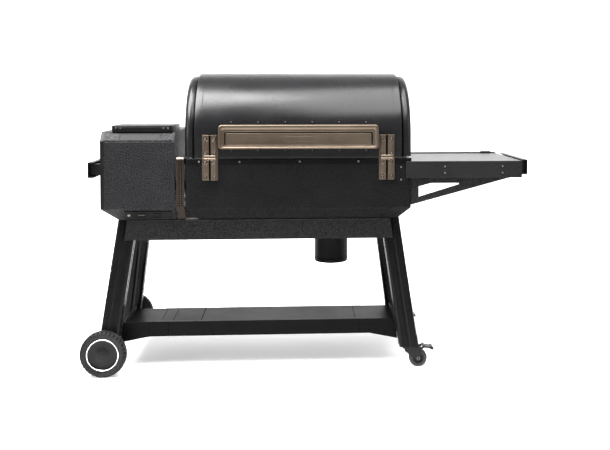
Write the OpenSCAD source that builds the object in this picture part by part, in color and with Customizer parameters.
// Pellet smoker grill: barrel lid over a folded steel trough, pellet hopper on the left,
// side shelf on the right, four splayed legs with two wheels and two braked casters.
// Millimetres, +Z up, front towards -Y, origin on the floor under the middle of the outline.

/* [Cooking body] */
// Length of the cooking body from end wall to end wall
body_len = 898; // [748:1:1078]
// Depth of the cooking body from front wall to rear wall
body_depth = 524; // [436:1:560]
// Height of the body's underside above the floor
body_z = 600; // [560:1:720]
// Height of the body's walls
body_h = 246; // [230:1:296]
// Size of the slanted folds around the bottom
fold = 50; // [40:1:60]
// Radius of the body's upright corners
corner_r = 16; // [12:1:30]
// Sheet thickness of body, lid and hopper
sheet = 3; // [2:0.5:4]
// Height of the rim band that stands proud of the walls
rim_h = 23; // [16:1:28]
// Thickness of the rim band
rim_t = 2; // [1.5:0.5:3]
// Width of the rim's flat top
rim_top = 24; // [18:1:30]

/* [Lid] */
// Gap between the rim and the lid's lower edge, filled by the gasket
lid_gap = 6; // [5:0.5:8]
// Height of the lid's straight lower part
lid_skirt = 74; // [60:1:90]
// Length of each pressed lid end outside the main skin
cap_len = 41; // [36:1:55]
// How much smaller the lid end's radius is than the skin's
cap_drop = 11; // [8:1:16]
// Rounding of the lid end's outer edge
cap_round = 22; // [14:1:24]
// Width of the groove between skin and lid end
groove_w = 8; // [6:1:10]
// Depth of that groove
groove_d = 28; // [20:1:34]

/* [Lid handle] */
// Length of the handle's frame
handle_len = 630; // [520:1:636]
// Height of the handle's frame
handle_h = 95; // [85:1:105]
// How far the handle stands off the lid
handle_out = 34; // [28:1:38]
// Height of the handle's lower edge above the lid's lower edge
handle_up = 34; // [30:1:40]
// Width of the frame at the ends
bezel_side = 24; // [18:1:28]
// Width of the frame along the top
bezel_top = 28; // [22:1:30]
// Width of the frame along the bottom
bezel_bottom = 14; // [10:1:16]

/* [Catches] */
// Distance of each catch from the body's middle
catch_x = 349; // [330:1:352]
// Width of a catch plate
catch_w = 62; // [50:1:64]
// Height of one catch plate
catch_h = 88; // [76:1:90]
// Thickness of a catch plate
catch_t = 10; // [8:0.5:12]
// Gap between the upper and the lower plate
catch_gap = 2; // [1:0.5:3]

/* [Hopper] */
// Width of the hopper
hopper_w = 288; // [250:1:350]
// Depth of the hopper from front to back
hopper_depth = 452; // [400:1:480]
// Height of the hopper's top above its underside
hopper_h = 353; // [330:1:380]
// Gap between the hopper and the body, covered by the vented strip
strip_gap = 39; // [34:1:46]
// Height and depth of the slanted panel at the top of the front
bevel = 36; // [28:1:40]
// Width of the hopper's left side panel
side_w = 14; // [10:1:18]
// Width of the hopper lid
hlid_w = 236; // [210:1:250]
// Depth of the hopper lid
hlid_d = 225; // [200:1:240]
// Height of the hopper lid
hlid_h = 26; // [20:1:32]

/* [Feed and fire] */
// Distance of the auger's axis in front of the middle
auger_off = 10; // [0:1:60]
// Height of the auger's axis above the body's underside
auger_up = 53; // [48:1:60]
// Radius of the auger's flight
auger_r = 24; // [20:1:26]
// Pitch of the auger's flight
auger_pitch = 50; // [40:1:60]
// Bore radius of the auger tube
tube_r = 27; // [26.5:0.5:28]
// Distance of the firepot and the keg to the right of the body's middle
keg_off = 138; // [100:1:180]
// Radius of the keg
keg_r = 73; // [60:1:80]
// Height of the keg
keg_h = 206; // [150:1:220]

/* [Side shelf] */
// Length of the side shelf
shelf_len = 446; // [380:1:520]
// Depth of the side shelf
shelf_d = 435; // [380:1:450]
// Height of the side shelf's apron
shelf_apron = 66; // [50:1:70]
// How far the accessory rails stand out
rail_out = 40; // [30:1:46]
// Height of the accessory rails
rail_h = 61; // [50:1:66]

/* [Legs and wheels] */
// Sideways splay of the legs per unit of height
splay_x = 0.139; // [0.08:0.001:0.18]
// Splay of the legs to front and back per unit of height
splay_y = 0.13; // [0.08:0.001:0.15]
// Width of a leg
leg_w = 74; // [60:1:80]
// Depth of a leg
leg_d = 56; // [48:1:64]
// Distance of the legs' tops from the middle, to front and back
leg_y = 172; // [160:1:180]
// Overhang of the hopper beyond the left legs' tops
over_left = 54; // [46:1:80]
// Overhang of the body beyond the right legs' tops
over_right = 42; // [35:1:60]
// Height of the front and rear frame aprons
apron_h = 82; // [70:1:95]
// Radius of the wheels
wheel_r = 89.5; // [80:0.5:100]
// Gap between a wheel and its leg
wheel_gap = 9; // [4:1:12]
// Width of the wheels
wheel_w = 42; // [32:1:44]
// Radius of the caster rollers
roller_r = 36; // [32:1:38]
// Distance of a roller's axle behind its swivel
trail = 38; // [28:1:42]
// Height of the lower shelf's floor
floor_z = 131; // [120:1:150]
// Height of the lower shelf's front lip
lip_h = 56; // [45:1:65]

/* [Hidden] */

$fn = 64;
eps = 0.01;
run_gap = 0.3;                                  // clearance between curved faces that move
pin_gap = 0.05;                                 // radial clearance of a running pin
seat_gap = 1;                                   // clearance around parts that drop in

half_len = body_len / 2;
half_d = body_depth / 2;

// Everything along X is first laid out from the body's middle, then shifted to centre the outline.
hopper_right = -half_len - strip_gap;
hopper_left = hopper_right - hopper_w;
leg_top_z = body_z;
frame_left = hopper_left + over_left;
frame_right = half_len - over_right;
frame_x = (frame_left + frame_right) / 2;
frame_half = (frame_right - frame_left) / 2;
axle_out = 6;
axle_x = frame_left - splay_x * (leg_top_z - wheel_r) + leg_w / 2 - axle_out;
shelf_end = half_len + shelf_len;
rail_end = shelf_end + rail_out;
body_x = -(rail_end + axle_x - wheel_r) / 2;

rim_z = body_z + body_h;
lid_z = rim_z + lid_gap;
lid_c = lid_z + lid_skirt;
lid_half = half_len + rim_t;                    // the lid ends are flush with the rim band
skin_half = lid_half - cap_len;
hinge_out = 14;
hinge_y = half_d + hinge_out;
hinge_z = lid_z - 2;
hinge_r = 8;
hinge_pin_r = 4;
hinge_at = skin_half - 120;
hinge_len = 90;
knuckle = hinge_len / 3;

hopper_top = body_z + hopper_h;
hopper_back = -half_d + hopper_depth;
side_fold = 60;                                 // the hopper's left fold is wider than it is high
hlid_x = hopper_right - 12 - hlid_w / 2;
hlid_front = -half_d + 27;
hlid_back = hlid_front + hlid_d;
hlid_pin_y = hlid_back + 7;
hlid_pin_z = hopper_top + 5;
hlid_lift = 0.5;
panel_x0 = hopper_left + 90;
panel_w = 185;
panel_h = 44;
panel_t = 4;

auger_z = body_z + auger_up;
tube_t = 3;
fire_r = 58;
fire_h = 92;
motor_len = 44;
tube_x0 = hopper_left + side_fold + motor_len - 18; // keeps the motor clear of the slanted fold
tube_x1 = keg_off - fire_r;
fan_x = hopper_left + 150;
fan_y = 100;
fan_z = body_z + 100;
fan_r = 58;
fan_w = 56;
pipe_r = 20;

shelf_z = rim_z - 14;
shelf_front = -half_d - rim_t;
shelf_back = shelf_front + shelf_d;
shelf_t = 3;
rail_off = 11;                                  // extra reach of the left rail's blocks
shelf_wrap = 22;                                // the apron's lap over the body's front corner

foot_z = 85;
foot_h = 44;
apron_y = 215;
apron_t = 3;
floor_y = 205;
floor_half = 442;
axle_r = 7;
hub_r = 64;
caster_x = frame_right + splay_x * (leg_top_z - foot_z) - leg_w / 2;
caster_y = leg_y + splay_y * (leg_top_z - foot_z);
axle_leg_y = leg_y + splay_y * (leg_top_z - wheel_r);
wheel_in = axle_leg_y + leg_d / 2 + wheel_gap;
wheel_out = wheel_in + wheel_w;
caster_t = 6;
fork_w = 34;
roller_w = 24;
stem_r = 7;

screw_r = 3.6;
screw_h = 2.4;
rivet_r = 3;

bronze = [0.42, 0.36, 0.30];
black = [0.10, 0.10, 0.11];
charcoal = [0.18, 0.18, 0.19];
steel = [0.66, 0.66, 0.66];
rubber = [0.05, 0.05, 0.05];

// ----- Flat shapes -----

// A rectangle with round corners, centred
module round_rect(w, h, r) {
    square([w - 2 * r, h], center = true);
    square([w, h - 2 * r], center = true);
    for (sx = [-1, 1], sy = [-1, 1])
        translate([sx * (w / 2 - r), sy * (h / 2 - r)]) circle(r);
}

// A half disc on a straight skirt: the outline of the lid seen from its end
module arch(r, skirt) {
    intersection() {
        circle(r, $fn = 160);
        translate([-r, 0]) square([2 * r, r]);
    }
    translate([-r, -skirt]) square([2 * r, skirt]);
}

// Puts flat XY shapes upright: drawn x runs to the back, drawn y runs up, height runs along X
module along_x(x0, x1) {
    translate([x0, 0, 0]) rotate([90, 0, 90]) linear_extrude(x1 - x0) children();
}

// Puts flat XY shapes upright: drawn x runs along X, drawn y runs up, height runs to the back
module along_y(y0, y1) {
    translate([0, y1, 0]) rotate([90, 0, 0]) linear_extrude(y1 - y0) children();
}

// Moves what was laid out from the body's middle into the part's frame
module shifted() {
    translate([body_x, 0, 0]) children();
}

module both_sides(x) {
    for (s = [-1, 1]) translate([s * x, 0, 0]) children();
}

// ----- Body -----

// The trough's solid, smaller by inset on every outside face
module trough(inset, z1) {
    a = half_len - inset;
    d = half_d - inset;
    z0 = body_z + inset;
    c = fold - inset * (2 - sqrt(2));
    r = max(corner_r - inset, 2);
    intersection() {
        translate([0, 0, z0]) linear_extrude(z1 - z0) round_rect(2 * a, 2 * d, r);
        along_x(-a, a) polygon([[-d, z1], [-d, z0 + c], [-d + c, z0], [d - c, z0], [d, z0 + c], [d, z1]]);
        along_y(-d, d) polygon([[-a, z1], [-a, z0 + c], [-a + c, z0], [a - c, z0], [a, z0 + c], [a, z1]]);
    }
}

ledge_z = rim_z - 34;                           // top of the ledges that carry the grates
tray_z = body_z + 150;                          // top of the ledges that carry the drip tray
collar_r = keg_r + 3;
collar_h = 26;
spout_r = 34;

module feed_hole(x0, x1, r) {
    translate([x0, -auger_off, auger_z]) rotate([0, 90, 0]) cylinder(r = r, h = x1 - x0);
}

module body_shell() {
    ledge_w = rim_top - sheet + 8;              // reaches inside the rim's opening
    color(black) shifted() {
        difference() {
            union() {
                difference() {
                    trough(0, rim_z - rim_t);
                    trough(sheet, rim_z);
                }
                for (s = [-1, 1])
                    translate([0, s * (half_d - sheet - ledge_w / 2), ledge_z - sheet / 2])
                        cube([body_len - 2 * corner_r, ledge_w, sheet], center = true);
                for (s = [-1, 1])
                    translate([s * (half_len - sheet - ledge_w / 2), 0, tray_z - sheet / 2])
                        cube([ledge_w, body_depth - 2 * corner_r, sheet], center = true);
                translate([keg_off, -auger_off, body_z - collar_h]) difference() {
                    cylinder(r = collar_r, h = collar_h);
                    translate([0, 0, -1]) cylinder(r = collar_r - 2, h = collar_h + 1);
                }
                translate([keg_off, -auger_off, body_z - collar_h - 4])
                    cylinder(r = spout_r, h = collar_h + 5);
            }
            translate([keg_off, -auger_off, body_z - collar_h - 5])
                cylinder(r = spout_r - 2, h = collar_h + 12);
            feed_hole(-half_len - 1, -half_len + fold, tube_r + tube_t);
            translate([-half_len - 1, fan_y, fan_z]) rotate([0, 90, 0]) cylinder(r = pipe_r, h = fold);
            for (x = [-240:60:240])
                translate([x - 18, half_d - sheet - 1, body_z + 120]) cube([36, sheet + 2, 10]);
        }
    }
}

module body_rim() {
    color(black) shifted() difference() {
        translate([0, 0, rim_z - rim_h]) linear_extrude(rim_h)
            round_rect(body_len + 2 * rim_t, body_depth + 2 * rim_t, corner_r + rim_t);
        translate([0, 0, rim_z - rim_h - 1]) linear_extrude(rim_h + 1 - rim_t)
            round_rect(body_len, body_depth, corner_r);
        translate([0, 0, rim_z - rim_t - 1]) linear_extrude(rim_t + 2)
            round_rect(body_len - 2 * rim_top, body_depth - 2 * rim_top, 4);
    }
}

// A screw head whose axis points to the front, with its back at y
module front_screw(x, y, z) {
    translate([x, y, z]) rotate([90, 0, 0]) cylinder(r = screw_r, h = screw_h, $fn = 24);
}

catch_screws = [for (sx = [-1, 1], sz = [-1, 1]) [sx * (catch_w / 2 - 13), sz * (catch_h / 2 - 15)]];
keeper_top = lid_z - catch_gap;
catch_bottom = lid_z;

module body_screws() {
    color(steel) shifted() {
        for (x = [-392, -234, 4, 236])
            front_screw(x * body_len / 898, -half_d - rim_t, rim_z - rim_h / 2);
        for (s = [-1, 1], p = catch_screws)
            front_screw(s * catch_x + p[0], -half_d - rim_t - catch_t, keeper_top - catch_h / 2 + p[1]);
        for (z = [-36, -86])
            front_screw(half_len - 42, -half_d, rim_z + z);
        for (x = [134, 367], dz = [-13, 13])
            front_screw(half_len + x * shelf_len / 446, shelf_front - shelf_t,
                shelf_z - shelf_apron / 2 + dz);
    }
}

// One ribbed plate, lower left corner at the origin, face towards -Y
module catch_plate() {
    rib = 4;
    slot = 5;
    difference() {
        translate([-catch_w / 2, -catch_t, 0]) cube([catch_w, catch_t, catch_h]);
        for (s = [-1, 1])
            translate([s * (catch_w / 2 - rib - 3) - 1.5, -catch_t - 1, -1]) cube([3, 3, catch_h + 2]);
        translate([-slot / 2, -catch_t - 1, 8]) cube([slot, 5, catch_h - 16]);
    }
}

module keepers() {
    color(bronze) shifted() both_sides(catch_x) difference() {
        translate([0, -half_d - rim_t, keeper_top - catch_h]) catch_plate();
        translate([-catch_w, -half_d - rim_t, rim_z - rim_h]) cube([2 * catch_w, half_d, catch_h]);
    }
    color(bronze) shifted() both_sides(catch_x)
        translate([-catch_w / 2, -half_d - rim_t, keeper_top - catch_h])
            cube([catch_w, rim_t, catch_h - rim_h - (keeper_top - rim_z)]);
}

// Barrels of the two lid hinges: the middle third belongs to the lid
module hinge_brackets() {
    leaf_h = 46;
    color(black) shifted() both_sides(hinge_at) {
        difference() {
            union() {
                for (s = [-1, 1]) translate([s * knuckle - knuckle / 2 + run_gap, 0, 0]) {
                    translate([0, hinge_y, hinge_z]) rotate([0, 90, 0])
                        cylinder(r = hinge_r, h = knuckle - 2 * run_gap);
                    translate([0, half_d + rim_t, hinge_z - leaf_h])
                        cube([knuckle - 2 * run_gap, 4, leaf_h - hinge_r + 2]);
                    translate([0, half_d + rim_t, hinge_z - hinge_r - 6])
                        cube([knuckle - 2 * run_gap, hinge_out - rim_t, 8]);
                }
                translate([-hinge_len / 2, half_d + rim_t, hinge_z - leaf_h])
                    cube([hinge_len, 4, leaf_h - 22]);
                translate([-hinge_len / 2, half_d, hinge_z - leaf_h])
                    cube([hinge_len, rim_t, rim_z - rim_h - hinge_z + leaf_h]);
            }
            pin_at(hinge_len, hinge_pin_r);
        }
    }
}

// A pin along the lid's hinge line, centred on the hinge
module pin_at(len, r) {
    translate([-len, hinge_y, hinge_z]) rotate([0, 90, 0]) cylinder(r = r, h = 2 * len);
}

module lid_hinge_pins() {
    color(steel) shifted() both_sides(hinge_at) {
        pin_at(hinge_len / 2 + 1, hinge_pin_r);
        for (s = [-1, 1]) translate([s * (hinge_len / 2 + 1.5) - 1.5, hinge_y, hinge_z]) rotate([0, 90, 0])
            cylinder(r = hinge_pin_r + 2, h = 3);
    }
}

strip_w = 30;
strip_top = rim_z + 4;
strip_t = 3;
strip_x = -half_len - rim_t - strip_w / 2;       // the strip sits against the rim band

// The vented strip: a folded bronze plate over the gap, two columns of small square holes
module vent_strip() {
    hole = 5;
    rows = 20;
    pitch = 8.6;
    color(bronze) shifted() difference() {
        translate([strip_x, 0, 0]) along_x(-strip_w / 2, strip_w / 2)
            polygon([[-half_d, strip_top], [-half_d, body_z + fold], [-half_d + fold, body_z],
                [-half_d + fold + strip_t, body_z + strip_t], [-half_d + strip_t, body_z + fold + 1],
                [-half_d + strip_t, strip_top - strip_t], [-half_d + 60, strip_top - strip_t],
                [-half_d + 60, strip_top]]);
        for (i = [0:rows - 1], s = [-1, 1])
            translate([strip_x + s * pitch / 2 - hole / 2, -half_d - 1, body_z + fold + 14 + i * pitch])
                cube([hole, strip_t + 2, hole]);
    }
    color(bronze) shifted() translate([-half_len - rim_t, -half_d + corner_r, body_z + fold + 20])
        cube([rim_t, 20, strip_top - body_z - fold - 20 - rim_h - 6]);
}

// Smoke leaves through slots in the rear wall into this duct, and out of its open underside
module exhaust_duct() {
    len = 560;
    out = 44;
    h = 96;
    z0 = body_z + 62;
    color(black) shifted() difference() {
        translate([-len / 2, half_d, z0]) cube([len, out, h]);
        translate([-len / 2 + 2, half_d - 1, z0 - 1]) cube([len - 4, out - 1, h - 1]);
    }
}

// ----- Fire -----

module firepot() {
    color(charcoal) shifted() difference() {
        translate([keg_off, -auger_off, body_z + sheet]) cylinder(r = fire_r, h = fire_h);
        translate([keg_off, -auger_off, body_z + sheet - 1]) cylinder(r = fire_r - 3, h = fire_h + 2);
        feed_hole(tube_x1 - 1, keg_off, tube_r);
        translate([keg_off - 1.5 * fire_r, -auger_off, body_z + 15]) rotate([0, 90, 0])
            cylinder(r = 4, h = fire_r);
    }
}

module igniter() {
    color(steel) shifted() translate([keg_off - fire_r - 60, -auger_off, body_z + 15])
        rotate([0, 90, 0]) cylinder(r = 4, h = 90);
}

module heat_baffle() {
    w = 340;
    d = 300;
    z = body_z + 112;
    color(charcoal) shifted() translate([keg_off, -auger_off + 40, 0]) {
        translate([-w / 2, -d / 2, z]) cube([w, d, 2]);
        for (sx = [-1, 1], sy = [-1, 1])
            translate([sx * (w / 2 - 8) - 4, sy * (d / 2 - 8) - 4, body_z + sheet])
                cube([8, 8, z - body_z - sheet]);
    }
}

module drip_tray() {
    w = body_len - 2 * rim_top - 2 * seat_gap;
    d = body_depth - 2 * rim_top - 12;
    h = 14;
    color(steel) shifted() translate([0, 0, tray_z]) difference() {
        translate([-w / 2, -d / 2, 0]) cube([w, d, h]);
        translate([-w / 2 + 2, -d / 2 + 2, 2]) cube([w - 4, d - 4, h]);
    }
}

// A wire grate: a frame and straight bars along Y, lower left corner at the origin
module grate(w, d, bars) {
    bar = 5;
    step = (w - bar) / (bars - 1);
    for (i = [0:bars - 1]) translate([i * step, 0, 0]) cube([bar, d, bar]);
    for (y = [0, d / 2 - bar / 2, d - bar]) translate([0, y, 0]) cube([w, bar, bar]);
}

module main_grates() {
    w = (body_len - 2 * rim_top - 5 * seat_gap) / 2;
    d = body_depth - 2 * rim_top - 4 * seat_gap;
    color(charcoal) shifted() for (s = [0, 1])
        translate([s == 0 ? -w - seat_gap / 2 : seat_gap / 2, -d / 2, ledge_z]) grate(w, d, 20);
}

module upper_grate() {
    w = body_len - 150;
    d = 170;
    up = 110;
    z = ledge_z + 5;
    color(charcoal) shifted() {
        translate([-w / 2, 20, z + up]) grate(w, d, 34);
        for (s = [-1, 1], y = [20, 20 + d - 5])
            translate([s * (w / 2 - 2.5) - 2.5, y, z]) cube([5, 5, up]);
    }
}

// ----- Hopper -----

// Outline of the hopper from its side: drawn x runs to the back, drawn y runs up
module hopper_side_outline(inset) {
    f = -half_d + inset;
    b = hopper_back - inset;
    z0 = body_z + inset;
    z1 = hopper_top - inset;
    c = fold - inset * (2 - sqrt(2));
    t = bevel - inset * (2 - sqrt(2));
    polygon([[f, z0 + c], [f + c, z0], [b, z0], [b, z1], [f + t, z1], [f, z1 - t]]);
}

// Outline of the hopper from its front, with the slanted fold at the lower left
module hopper_front_outline(inset) {
    l = hopper_left + inset;
    r = hopper_right - inset;
    z0 = body_z + inset;
    z1 = hopper_top - inset;
    polygon([[l, z1], [l, z0 + fold], [l + side_fold, z0], [r, z0], [r, z1]]);
}

module hopper_solid(inset) {
    intersection() {
        along_x(hopper_left + inset, hopper_right - inset) hopper_side_outline(inset);
        along_y(-half_d, hopper_back) hopper_front_outline(inset);
    }
}

bin_w = hlid_w - 16;
bin_d = hlid_d - 18;
bin_y = (hlid_front + hlid_back) / 2;

module hopper_box() {
    color(charcoal) shifted() difference() {
        hopper_solid(0);
        hopper_solid(sheet);
        translate([hopper_left - 1, -half_d - 1, body_z - 1])
            cube([side_w + 1, hopper_depth + 2, hopper_h + 2]);
        translate([hlid_x - bin_w / 2, bin_y - bin_d / 2, hopper_top - sheet - 1])
            cube([bin_w, bin_d, sheet + 2]);
        feed_hole(hopper_right - sheet - 1, hopper_right + 1, tube_r + tube_t);
        translate([hopper_right - sheet - 1, fan_y, fan_z]) rotate([0, 90, 0])
            cylinder(r = pipe_r, h = sheet + 2);
        bevel_slab(0, bevel_t);
    }
}

// The left side panel closes the box and laps over its edge
module hopper_side() {
    color(black) shifted() difference() {
        intersection() {
            hopper_solid(0);
            translate([hopper_left, -half_d, body_z]) cube([side_w, hopper_depth, hopper_h]);
        }
        translate([sheet, 0, 0]) intersection() {
            hopper_solid(sheet);
            translate([hopper_left, -half_d, body_z]) cube([side_w + sheet, hopper_depth, hopper_h]);
        }
        bevel_slab(0, bevel_t);
    }
}

bevel_t = 3;
bevel_len = bevel * sqrt(2);

// Puts a piece on the slanted panel: drawn y runs up the slope, drawn z away from it
module on_bevel(x) {
    translate([x, -half_d + bevel / 2, hopper_top - bevel / 2]) rotate([45, 0, 0]) children();
}

module bevel_slab(grow, t) {
    w = hopper_w - side_w + grow;
    on_bevel(hopper_right - w / 2) translate([-w / 2 - eps, -bevel_len / 2 - 4, -t])
        cube([w + 2 * eps, bevel_len + 8, t + 4]);
}

display_w = 150;
display_h = 36;

module hopper_bevel() {
    w = hopper_w - side_w;
    color(charcoal) shifted() on_bevel(hopper_right - w / 2) difference() {
        translate([-w / 2, -bevel_len / 2 + bevel_t, -bevel_t]) cube([w, bevel_len - 2 * bevel_t, bevel_t]);
        translate([-display_w / 2, -display_h / 2, -1.5]) cube([display_w, display_h, 2]);
    }
}

module display() {
    w = hopper_w - side_w;
    color(black) shifted() on_bevel(hopper_right - w / 2)
        translate([-display_w / 2, -display_h / 2, -1.5]) cube([display_w, display_h, 1.5]);
}

// A funnel between the hopper's top and the auger tube, smaller by inset inside
module funnel(inset) {
    z1 = hopper_top - sheet;
    z0 = auger_z + tube_r + tube_t;
    mx = hlid_x;
    x0 = mx - bin_w / 2 + inset;
    x1 = mx + bin_w / 2 - inset;
    y0 = bin_y - bin_d / 2 + inset;
    y1 = bin_y + bin_d / 2 - inset;
    straight = 90;
    out = 18 - inset;
    intersection() {
        along_x(x0, x1) polygon([[y0, z1 + inset], [y0, z1 - straight], [-auger_off - out, z0 - inset],
            [-auger_off + out, z0 - inset], [y1, z1 - straight], [y1, z1 + inset]]);
        along_y(y0, y1) polygon([[x0, z1 + inset], [x0, z1 - straight], [mx - 2 * out, z0 - inset],
            [mx + 2 * out, z0 - inset], [x1, z1 - straight], [x1, z1 + inset]]);
    }
}

module hopper_bin() {
    color(steel) shifted() difference() {
        funnel(0);
        funnel(2);
    }
}

hpin_r = 2.5;
hbar_r = 5;

module hopper_hinge() {
    len = hlid_w - 20;
    color(black) shifted() translate([hlid_x, 0, 0]) {
        difference() {
            union() for (x = [-len / 2, len / 2 - 40]) translate([x, 0, 0]) {
                translate([0, hlid_pin_y, hlid_pin_z]) rotate([0, 90, 0]) cylinder(r = hbar_r, h = 40);
                translate([0, hlid_pin_y, hopper_top]) cube([40, 18, 2]);
            }
            translate([-len, hlid_pin_y, hlid_pin_z]) rotate([0, 90, 0]) cylinder(r = hpin_r, h = 2 * len);
        }
        translate([-len / 2 - 2, hlid_pin_y, hlid_pin_z]) rotate([0, 90, 0])
            cylinder(r = hpin_r, h = len + 4);
    }
}

module hopper_lid() {
    wall = 2.5;
    z = hopper_top + hlid_lift;
    len = hlid_w - 20;
    color(black) shifted() translate([hlid_x, 0, 0]) difference() {
        union() {
            difference() {
                translate([-hlid_w / 2, hlid_front, z]) cube([hlid_w, hlid_d, hlid_h]);
                translate([-hlid_w / 2 + wall, hlid_front + wall, z - 1])
                    cube([hlid_w - 2 * wall, hlid_d - 2 * wall, hlid_h + 1 - wall]);
                translate([-hlid_w / 2 + wall + 4, hlid_front - 1, z + 5])
                    cube([hlid_w - 2 * wall - 8, 4, hlid_h - 13]);
            }
            translate([-hlid_w / 2 + 40, hlid_front + 2, z + 2]) cube([hlid_w - 80, 4, hlid_h - 8]);
            translate([-len / 2 + 40 + run_gap, hlid_pin_y, hlid_pin_z]) rotate([0, 90, 0])
                cylinder(r = hbar_r, h = len - 80 - 2 * run_gap);
            translate([-len / 2 + 40 + run_gap, hlid_back - 1, hlid_pin_z + 1])
                cube([len - 80 - 2 * run_gap, hlid_pin_y - hlid_back + 1, 3]);
        }
        translate([-hlid_w, hlid_pin_y, hlid_pin_z]) rotate([0, 90, 0])
            cylinder(r = hpin_r + pin_gap, h = 2 * hlid_w);
    }
}

// Puts a piece on the slanted fold under the hopper's front: drawn y runs up, drawn z outwards
module on_fold(x) {
    translate([x, -half_d + fold / 2, body_z + fold / 2]) rotate([135, 0, 0]) children();
}

button_x = 15.5;
button_r = 6;
button_travel = 2;
port_x = 64;
flap_x = 129;
flap_w = 32;
flap_h = 26;

module control_panel() {
    color(black) shifted() on_fold(panel_x0) difference() {
        translate([0, -panel_h / 2, 0]) cube([panel_w, panel_h, panel_t]);
        translate([button_x, 0, -1]) cylinder(r = button_r + run_gap, h = panel_t + 2);
        for (s = [-1, 1]) translate([port_x + s * 9, 0, -1]) cylinder(r = 4, h = panel_t + 2);
        translate([flap_x, 0, panel_t - 1]) linear_extrude(2) difference() {
            square([flap_w, flap_h], center = true);
            square([flap_w - 3, flap_h - 3], center = true);
        }
    }
}

module power_button() {
    base = button_travel + 0.2;
    color(steel) shifted() on_fold(panel_x0 + button_x) translate([0, 0, base])
        cylinder(r = button_r, h = panel_t + 1.6 - base);
}

// ----- Feed -----

module auger_tube() {
    slot = 60;
    color(steel) shifted() difference() {
        feed_hole(tube_x0, tube_x1 + 1, tube_r + tube_t);
        feed_hole(tube_x0 - 1, tube_x1 + 2, tube_r);
        translate([hlid_x - slot / 2, -auger_off - 15, auger_z]) cube([slot, 30, 2 * tube_r]);
        translate([keg_off, -auger_off, body_z]) cylinder(r = fire_r, h = 2 * fire_h);
    }
}

module auger_motor() {
    color(charcoal) shifted() difference() {
        translate([tube_x0 - motor_len, -auger_off - 30, auger_z - 26]) cube([motor_len, 60, 60]);
        feed_hole(tube_x0 - 14, tube_x0 + 1, 7);
    }
}

module auger() {
    x0 = tube_x0 - 12;
    x1 = tube_x1 - 2;
    turns = (x1 - tube_x0 - 8) / auger_pitch;
    color(steel) shifted() {
        feed_hole(x0, x1, 6);
        translate([tube_x0 + 6, -auger_off, auger_z]) rotate([0, 90, 0])
            linear_extrude(x1 - tube_x0 - 8, twist = 360 * turns, slices = ceil(turns * 16), $fn = 8)
                translate([0, -2.5]) square([auger_r, 5]);
    }
}

module fan_housing() {
    wall = 2;
    color(charcoal) shifted() {
        difference() {
            union() {
                translate([fan_x, fan_y, fan_z]) rotate([0, 90, 0]) cylinder(r = fan_r, h = fan_w);
                translate([fan_x + fan_w - 1, fan_y, fan_z]) rotate([0, 90, 0])
                    cylinder(r = pipe_r, h = -half_len + sheet - fan_x - fan_w + 1);
            }
            translate([fan_x + wall, fan_y, fan_z]) rotate([0, 90, 0])
                cylinder(r = fan_r - wall, h = fan_w - 2 * wall);
            translate([fan_x + fan_w - wall - 1, fan_y, fan_z]) rotate([0, 90, 0])
                cylinder(r = pipe_r - wall, h = 400);
            translate([fan_x - 1, fan_y, fan_z]) rotate([0, 90, 0]) cylinder(r = 4, h = wall + 2);
        }
        translate([fan_x - 30, fan_y, fan_z]) rotate([0, 90, 0]) difference() {
            cylinder(r = 24, h = 30);
            translate([0, 0, 20]) cylinder(r = 4, h = 11);
        }
        translate([fan_x, fan_y - 30, body_z + sheet])
            cube([fan_w, 60, fan_z - fan_r - body_z - sheet + wall]);
    }
}

module fan_wheel() {
    blades = 12;
    color(steel) shifted() translate([fan_x, fan_y, fan_z]) rotate([0, 90, 0]) {
        translate([0, 0, -8]) cylinder(r = 3.9, h = 20);
        translate([0, 0, 8]) cylinder(r = 46, h = 3);
        for (i = [0:blades - 1]) rotate([0, 0, i * 360 / blades])
            translate([26, -1, 10]) cube([20, 2, 34]);
    }
}

module power_inlet() {
    color(rubber) shifted() translate([hopper_left + 90, hopper_back, body_z + 90]) difference() {
        translate([-16, 0, -14]) cube([32, 9, 28]);
        translate([-12, 1.5, -9]) cube([24, 9, 18]);
    }
}

// ----- Keg -----

module keg() {
    top = body_z - 6;
    wall = 2;
    color(black) shifted() translate([keg_off, -auger_off, top - keg_h]) {
        difference() {
            union() {
                cylinder(r = keg_r - 3, h = 6);
                translate([0, 0, 6]) cylinder(r = keg_r - 1, h = keg_h - 6);
            }
            translate([0, 0, wall]) cylinder(r = keg_r - 1 - 2 * wall, h = keg_h);
        }
    }
}

// ----- Lid -----

module lid_skin() {
    flange = 2;
    color(black) shifted() translate([0, 0, lid_c]) {
        along_x(-skin_half, skin_half) difference() {
            arch(half_d, lid_skirt);
            translate([0, -eps]) arch(half_d - sheet, lid_skirt + 1);
        }
        for (x = [-skin_half, skin_half - flange]) along_x(x, x + flange) difference() {
            arch(half_d - sheet + eps, lid_skirt);
            translate([0, -eps]) arch(half_d - liner_gap - 2, lid_skirt + 1);
        }
    }
}

cap_t = 3;                                      // thickness of the pressed lid ends

// Outline of a lid end's solid, smaller by inset: drawn x is the radius, drawn y runs outwards
module cap_outline(inset) {
    r = half_d - cap_drop - inset;
    out = cap_len - inset;
    round = cap_round - inset;
    shoulder = groove_w + inset;
    start = inset > 0 ? -1 : 0;
    translate([0, start]) square([half_d - groove_d - inset, out - start]);
    translate([0, shoulder]) square([r - round, out - shoulder]);
    translate([0, shoulder]) square([r, out - round - shoulder]);
    translate([r - round, out - round]) intersection() {
        circle(round);
        square(round);
    }
}

// The barrel end and its skirts as one solid, smaller by inset
module lid_end_solid(inset) {
    down = inset > 0 ? lid_skirt + 1 : lid_skirt;
    rotate([90, 0, 90]) rotate_extrude(angle = 180, $fn = 160) cap_outline(inset);
    translate([0, 0, -down]) linear_extrude(down) for (s = [0, 1])
        mirror([0, s, 0]) mirror([1, -1, 0]) cap_outline(inset);
}

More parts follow.
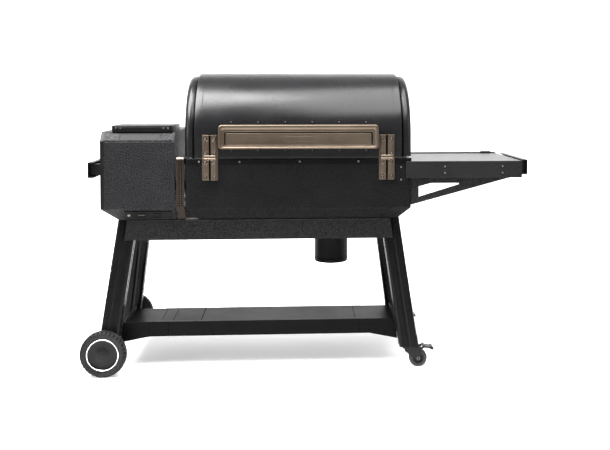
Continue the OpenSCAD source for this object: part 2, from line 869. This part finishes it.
module lid_end() {
    difference() {
        lid_end_solid(0);
        lid_end_solid(cap_t);
    }
}

module lid_ends() {
    color(black) shifted() for (s = [0, 1]) mirror([s, 0, 0])
        translate([skin_half, 0, lid_c]) lid_end();
}

liner_gap = 38;

module lid_liner() {
    color(steel) shifted() translate([0, 0, lid_c]) along_x(-skin_half + 2, skin_half - 2) difference() {
        arch(half_d - liner_gap - 2, lid_skirt);
        translate([0, -eps]) arch(half_d - liner_gap - 4, lid_skirt + 1);
    }
}

module lid_gasket() {
    w = 12;
    len = 2 * skin_half;
    depth = body_depth - 2;
    color(rubber) shifted() translate([0, 0, rim_z + run_gap])
        linear_extrude(lid_gap - run_gap) difference() {
            square([len, depth], center = true);
            square([len - 2 * w, depth - 2 * w], center = true);
        }
}

handle_z = lid_z + handle_up + handle_h / 2;
handle_face = -half_d - handle_out;
bezel_t = 6;
opening_w = handle_len - 2 * bezel_side;
opening_h = handle_h - bezel_top - bezel_bottom;
opening_z = handle_z + (bezel_bottom - bezel_top) / 2;

// The barrel that the lid's fittings are trimmed against
module lid_solid() {
    translate([0, 0, lid_c]) along_x(-skin_half, skin_half) arch(half_d, lid_skirt);
}

module handle_frame() {
    wall = 3;
    color(bronze) shifted() difference() {
        translate([0, 0, handle_z]) along_y(handle_face, -half_d + 12) round_rect(handle_len, handle_h, 14);
        translate([0, 0, handle_z - wall]) along_y(handle_face + bezel_t, -half_d + 13)
            square([handle_len - 2 * wall, handle_h + eps], center = true);
        translate([0, 0, opening_z]) along_y(handle_face - 1, handle_face + bezel_t + 1)
            square([opening_w, opening_h], center = true);
        lid_solid();
    }
}

module handle_panel() {
    lap = 5;
    color(bronze) shifted() translate([0, 0, opening_z])
        along_y(handle_face + bezel_t, handle_face + bezel_t + 4)
            square([opening_w + 2 * lap, opening_h + 2 * lap], center = true);
}

module lid_fasteners() {
    count = 6;
    pitch = handle_len / 5.9;
    up = handle_z + handle_h / 2 + 9;
    down = handle_z - handle_h / 2 - 7;
    color(steel) shifted() {
        difference() {
            for (i = [0:count - 1], z = [up, down])
                translate([(i - (count - 1) / 2) * pitch, -half_d + 12, z]) rotate([90, 0, 0])
                    cylinder(r = rivet_r, h = z == up ? 5.5 : 13.8, $fn = 20);
            lid_solid();
        }
        for (s = [-1, 1], p = catch_screws)
            front_screw(s * catch_x + p[0], -half_d - catch_t, catch_bottom + catch_h / 2 + p[1]);
    }
}

module lid_catches() {
    color(bronze) shifted() difference() {
        both_sides(catch_x) union() {
            translate([0, -half_d, catch_bottom]) catch_plate();
            translate([-catch_w / 2, -half_d, catch_bottom + lid_skirt])
                cube([catch_w, 3, catch_h - lid_skirt]);
        }
        lid_solid();
    }
}

// The lid's hinge leaves: a plate on the skin and the middle knuckle
module lid_hinge_leaves() {
    color(black) shifted() both_sides(hinge_at) difference() {
        union() {
            translate([-hinge_len / 2, half_d, lid_z + 12]) cube([hinge_len, 4, 50]);
            translate([-knuckle / 2 + run_gap, half_d, lid_z + 8])
                cube([knuckle - 2 * run_gap, 4, 10]);
            translate([-knuckle / 2 + run_gap, half_d, hinge_z + 4])
                cube([knuckle - 2 * run_gap, hinge_out, 6]);
            translate([-knuckle / 2 + run_gap, hinge_y, hinge_z]) rotate([0, 90, 0])
                cylinder(r = hinge_r, h = knuckle - 2 * run_gap);
        }
        pin_at(hinge_len, hinge_pin_r + pin_gap);
    }
}

// ----- Side shelf and rails -----

module side_shelf_top() {
    color(steel) shifted() translate([half_len + rim_t, shelf_front, shelf_z - shelf_t])
        cube([shelf_len - rim_t, shelf_d, shelf_t]);
}

module side_shelf_frame() {
    x0 = half_len - shelf_wrap;
    z0 = shelf_z - shelf_apron;
    color(charcoal) shifted() {
        translate([x0, shelf_front - shelf_t, z0]) cube([shelf_len + shelf_wrap, shelf_t, shelf_apron]);
        translate([half_len + rim_t, shelf_back, z0]) cube([shelf_len - rim_t, shelf_t, shelf_apron]);
        translate([shelf_end - shelf_t, shelf_front, z0])
            cube([shelf_t, shelf_d, shelf_apron - shelf_t]);
    }
}

gusset_y = 8;                                   // how far the gussets stand behind the aprons

module gusset(y) {
    t = 3;
    drop = 110;
    z1 = shelf_z - shelf_apron;
    run = shelf_len * 0.92;
    translate([half_len, 0, 0]) along_y(y, y + t) difference() {
        polygon([[0, z1 + 40], [run, z1 + 40], [run, z1], [0, z1 - drop]]);
        polygon([[32, z1 - 23], [32, z1 - 77], [194, z1 - 28], [194, z1 - 23]]);
    }
}

module shelf_gussets() {
    color(charcoal) shifted() {
        gusset(-half_d + corner_r + 2);
        gusset(shelf_back - gusset_y);
    }
}

// C-shaped rail seen from the front, its outer face at x = rail_out and its bottom at y = 0
module rail_outline() {
    t = 4;
    lip = 22;
    translate([rail_out - t, t]) square([t, rail_h - 2 * t]);
    for (y = [0, rail_h - t]) translate([rail_out - lip, y]) square([lip - t, t]);
    for (y = [t, rail_h - t]) translate([rail_out - t, y]) circle(t);
}

// A rail on three blocks that hold it off its wall
module rail(y0, y1, reach) {
    block = 40;
    along_y(y0, y1) rail_outline();
    for (y = [y0 + 20, (y0 + y1 - block) / 2, y1 - 20 - block])
        along_y(y, y + block) translate([-reach, 8]) square([rail_out - 4 + reach, rail_h - 16]);
}

module accessory_rails() {
    z = shelf_z + 1 - rail_h;
    color(black) shifted() {
        translate([shelf_end, 0, z]) rail(shelf_front + 59, shelf_back, 0);
        translate([hopper_left - rail_off, 0, z]) mirror([1, 0, 0])
            rail(-half_d + 12, hopper_back - 20, rail_off);
    }
}

// ----- Frame -----

// Copies a front right part to all four corners, mirrored about the frame's middle
module four_corners() {
    translate([frame_x, 0, 0]) for (sx = [0, 1], sy = [0, 1])
        mirror([sx, 0, 0]) mirror([0, sy, 0]) children();
}

// A fluted tube's outline
module leg_outline(w, d) {
    r = 13;
    difference() {
        round_rect(w, d, r);
        for (s = [-1, 1]) translate([0, s * (d / 2 + 7)]) circle(10);
        translate([w / 2 + 7, 0]) circle(10);
    }
}

// A front right leg's core or skin, between two heights
module leg_solid(w, d, z0, z1) {
    len = leg_top_z + 40;
    intersection() {
        translate([frame_half - leg_w / 2, -leg_y, leg_top_z])
            rotate([-atan(splay_y), 0, 0]) rotate([0, 180 - atan(splay_x), 0])
                translate([0, 0, -20]) linear_extrude(len) leg_outline(w, d);
        translate([frame_half - 200, -leg_y - 200, z0]) cube([400, 400, z1 - z0]);
    }
}

module legs() {
    wall = 3;
    color(black) shifted() difference() {
        four_corners() difference() {
            leg_solid(leg_w, leg_d, foot_z + 4, leg_top_z);
            leg_solid(leg_w - 2 * wall, leg_d - 2 * wall, foot_z, leg_top_z + 10);
        }
        axle_bore();
    }
}

module axle_bore() {
    for (s = [-1, 1]) translate([axle_x, s * axle_leg_y, wheel_r]) rotate([90, 0, 0])
        cylinder(r = axle_r, h = 2 * leg_d, center = true);
}

module foot_caps() {
    color(black) shifted() difference() {
        four_corners() difference() {
            leg_solid(leg_w + 3, leg_d + 3, foot_z, foot_z + foot_h);
            leg_solid(leg_w, leg_d, foot_z + 4, foot_z + foot_h + 1);
        }
        axle_bore();
    }
}

// Front and rear aprons, ends slanted like the legs
module frame_aprons() {
    z0 = leg_top_z - apron_h;
    a = frame_half - 38;
    b = a + splay_x * apron_h;
    wide = 40;
    color(charcoal) shifted() translate([frame_x, 0, 0]) for (s = [0, 1]) mirror([0, s, 0]) {
        along_y(-apron_y, -apron_y + apron_t)
            polygon([[-a, leg_top_z], [a, leg_top_z], [b, z0], [-b, z0]]);
        translate([0, -apron_y + apron_t, leg_top_z - apron_t])
            translate([-frame_half + leg_w + 20, 0, 0]) cube([2 * (frame_half - leg_w - 20), wide, apron_t]);
    }
}

module lower_shelf() {
    t = 3;
    color(charcoal) shifted() translate([frame_x, 0, 0]) {
        translate([-floor_half, -floor_y, floor_z - t]) cube([2 * floor_half, 2 * floor_y, t]);
        translate([-floor_half, -floor_y - t, floor_z - t]) cube([2 * floor_half, t, lip_h + t]);
        translate([-floor_half, -floor_y, floor_z + lip_h - t]) cube([2 * floor_half, 14, t]);
        translate([-floor_half, floor_y, floor_z - 20]) cube([2 * floor_half, t, 20]);
    }
}

// End brackets join the shelf to the legs and flare downwards towards them
module shelf_brackets() {
    t = 3;
    flare = 26;
    rise = 20;
    top = floor_z + lip_h;
    web_y = floor_y - 5;
    a = floor_half;
    b = frame_half + splay_x * (leg_top_z - floor_z) - leg_w - 1;
    web_x = b + 18;
    color(charcoal) shifted() translate([frame_x, 0, 0]) for (s = [0, 1]) mirror([s, 0, 0]) {
        along_y(-floor_y - t, -floor_y)
            polygon([[a, floor_z - t], [a, top], [b - splay_x * lip_h, top], [b + 3, floor_z - flare]]);
        translate([a, -floor_y, floor_z - t]) cube([b - a - 4, 2 * floor_y, t]);
        translate([b - 5, -web_y, floor_z - t]) cube([web_x - b + 5, 2 * web_y, t]);
        translate([web_x - t, -web_y, floor_z - flare]) cube([t, 2 * web_y, flare + rise]);
    }
}

// ----- Wheels -----

module axle() {
    color(steel) shifted() translate([axle_x, 0, wheel_r]) rotate([90, 0, 0]) {
        cylinder(r = axle_r, h = 2 * wheel_out - 16, center = true);
        for (s = [-1, 1]) translate([0, 0, s * (wheel_out - 8)])
            cylinder(r = axle_r + 4, h = 5, center = true);
    }
}

// A tyre with its axis along Y, outer face at y0
module tyre(y0) {
    r = wheel_r;
    w = wheel_w;
    e = 8;
    color(rubber) shifted() translate([axle_x, y0, wheel_r]) rotate([-90, 0, 0]) rotate_extrude($fn = 96)
        polygon([[hub_r, 3], [r - e, 0], [r, e], [r, w - e], [r - e, w], [hub_r, w - 3]]);
}

module hub(s) {
    w = wheel_w;
    color(charcoal) shifted() translate([axle_x, s * wheel_out, wheel_r]) rotate([s > 0 ? 90 : -90, 0, 0])
        difference() {
            rotate_extrude($fn = 96)
                polygon([[0, 1], [22, 1], [30, 5], [50, 5], [58, 1.5], [hub_r, 3], [hub_r, w - 3],
                    [30, w - 3], [30, w], [axle_r + pin_gap, w], [axle_r + pin_gap, 11], [0, 11]]);
            translate([0, 0, 4]) cylinder(r = axle_r + 5, h = 9);
        }
}

module front_tyre() tyre(-wheel_out);
module rear_tyre() tyre(wheel_out - wheel_w);
module front_hub() hub(-1);
module rear_hub() hub(1);

// ----- Casters -----

module at_caster(s) {
    shifted() translate([caster_x, s * caster_y, 0]) children();
}

caster_top = foot_z - caster_t;
pin_r = 2.5;
pin_x = trail + 8;
pin_z = caster_top - 2.5;

module caster_plates() {
    color(steel) for (s = [-1, 1]) at_caster(s) {
        difference() {
            translate([-25, -22, caster_top]) cube([50, 44, caster_t]);
            translate([0, 0, caster_top - 1]) cylinder(r = stem_r + pin_gap, h = caster_t + 2);
        }
    }
}

module fork(s) {
    ear = 3;
    z1 = caster_top - 1;
    mid = fork_w / 2 - ear / 2;
    color(black) at_caster(s) {
        stem_and_race(z1);
        difference() {
            for (e = [-1, 1]) along_y(e * mid - ear / 2, e * mid + ear / 2)
                polygon([[-20, z1], [20, z1], [pin_x - 4, pin_z + 4], [pin_x + 5, pin_z + 4],
                    [pin_x + 6, pin_z - 4], [trail + 11, roller_r], [trail + 6, roller_r - 10],
                    [trail - 8, roller_r - 8], [-16, z1 - 12]]);
            translate([pin_x, 0, pin_z]) rotate([90, 0, 0])
                cylinder(r = pin_r + pin_gap, h = 2 * fork_w, center = true);
        }
        translate([trail, 0, roller_r]) rotate([90, 0, 0]) cylinder(r = 4, h = fork_w + 8, center = true);
    }
}

// Top race of the fork and the stem that turns in the foot's plate
module stem_and_race(z1) {
    translate([0, 0, z1 - 3]) cylinder(r = 20, h = 3);
    translate([0, 0, z1 - 3]) cylinder(r = stem_r, h = caster_t + 3);
}

module roller(s) {
    color(rubber) at_caster(s) translate([trail, 0, roller_r]) rotate([90, 0, 0])
        rotate_extrude($fn = 64) polygon([[4 + pin_gap, -roller_w / 2], [roller_r - 4, -roller_w / 2],
            [roller_r, -roller_w / 2 + 4], [roller_r, roller_w / 2 - 4], [roller_r - 4, roller_w / 2],
            [4 + pin_gap, roller_w / 2]]);
}

// A foot brake that tips on a pin through the fork
module pedal(s) {
    arm = 3;
    mid = fork_w / 2 + run_gap + arm / 2;
    back = 16;
    tip = 71;
    color(charcoal) at_caster(s) {
        along_y(-mid - arm / 2, mid + arm / 2)
            polygon([[trail + back, pin_z + 5], [trail + back, pin_z + 12], [trail + back + 16, pin_z + 12],
                [trail + tip, pin_z - 6], [trail + tip, pin_z - 13], [trail + tip - 8, pin_z - 13]]);
        for (e = [-1, 1]) along_y(e * mid - arm / 2, e * mid + arm / 2)
            polygon([[pin_x - 4, pin_z - 4], [pin_x - 4, pin_z + 4], [trail + back + 8, pin_z + 10],
                [trail + back + 8, pin_z]]);
        translate([pin_x, 0, pin_z]) rotate([90, 0, 0]) cylinder(r = pin_r, h = 2 * mid, center = true);
    }
}

module front_fork() fork(-1);
module rear_fork() fork(1);
module front_roller() roller(-1);
module rear_roller() roller(1);
module front_pedal() pedal(-1);
module rear_pedal() pedal(1);

body_shell();
body_rim();
body_screws();
keepers();
hinge_brackets();
lid_hinge_pins();
vent_strip();
exhaust_duct();
firepot();
igniter();
heat_baffle();
drip_tray();
main_grates();
upper_grate();
hopper_box();
hopper_side();
hopper_bevel();
display();
hopper_bin();
hopper_hinge();
control_panel();
auger_tube();
auger_motor();
fan_housing();
power_inlet();
side_shelf_top();
side_shelf_frame();
shelf_gussets();
accessory_rails();
legs();
frame_aprons();
lower_shelf();
shelf_brackets();
foot_caps();
axle();
caster_plates();
lid_skin();
lid_ends();
lid_liner();
lid_gasket();
handle_frame();
handle_panel();
lid_fasteners();
lid_catches();
lid_hinge_leaves();
hopper_lid();
power_button();
auger();
fan_wheel();
keg();
front_tyre();
front_hub();
rear_tyre();
rear_hub();
front_fork();
rear_fork();
front_roller();
rear_roller();
front_pedal();
rear_pedal();
